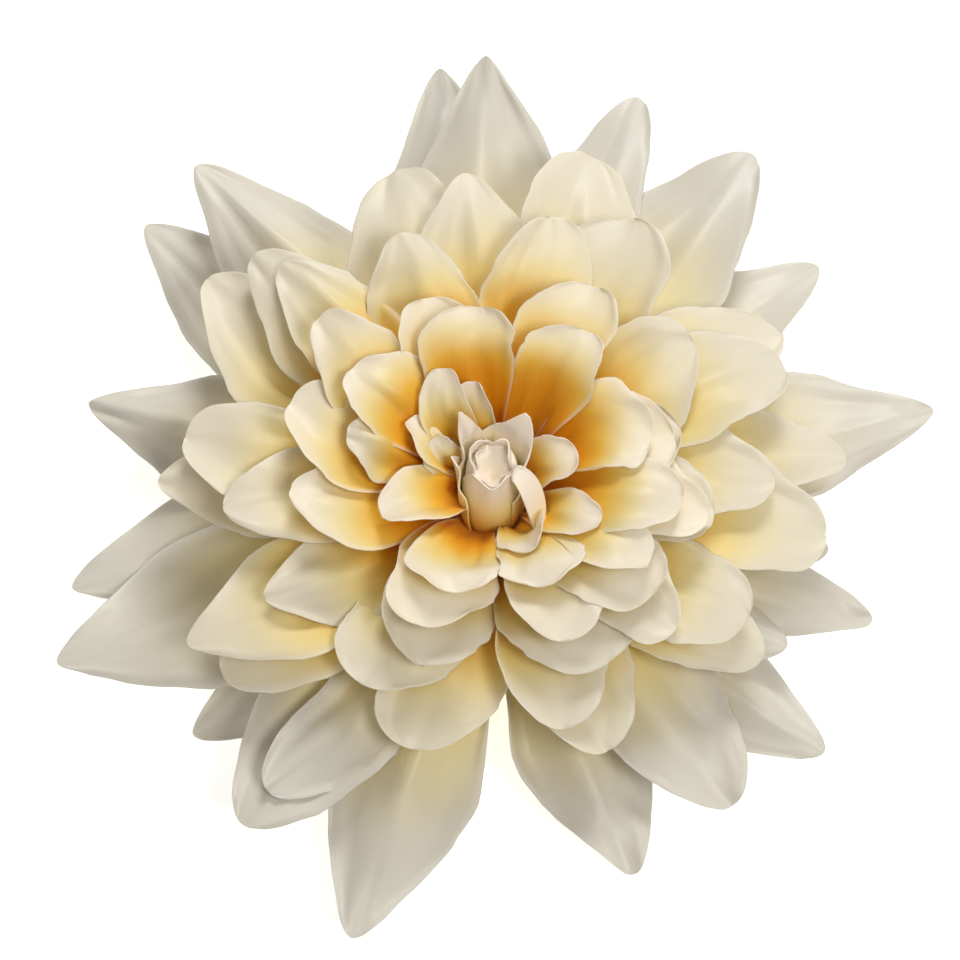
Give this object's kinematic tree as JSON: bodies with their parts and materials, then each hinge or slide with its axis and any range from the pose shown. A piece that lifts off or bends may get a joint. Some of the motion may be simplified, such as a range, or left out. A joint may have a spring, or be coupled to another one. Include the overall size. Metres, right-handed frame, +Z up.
{
  "type": "dahlia flower",
  "caption": "Cream-white dahlia flower head with pointed outer petals, an orange throat and a closed bud, cut close below the calyx and lying face up.",
  "frame": {"origin": "middle of the flat cut end of the stem, on the surface the head lies on", "axes": "+Z up through the bud, +Y towards the top of the picture, +X towards its right"},
  "size_m": [0.147, 0.1524, 0.0414],
  "materials": {
    "stem": "matt green stem with a paler cut end",
    "calyx": "matt light green leaflets",
    "outer_petal": "satin, slightly translucent white",
    "middle_petal": "satin, slightly translucent cream, pale yellow at the foot",
    "inner_petal": "satin, slightly translucent, orange at the foot",
    "heart": "satin cream, orange at the foot"
  },
  "bodies": {
    "root": {"stem": "stem", "calyx": "calyx", "outer_petals": "outer_petal", "middle_petals": "middle_petal", "inner_petals": "inner_petal", "heart": "heart"}
  },
  "joints": []
}
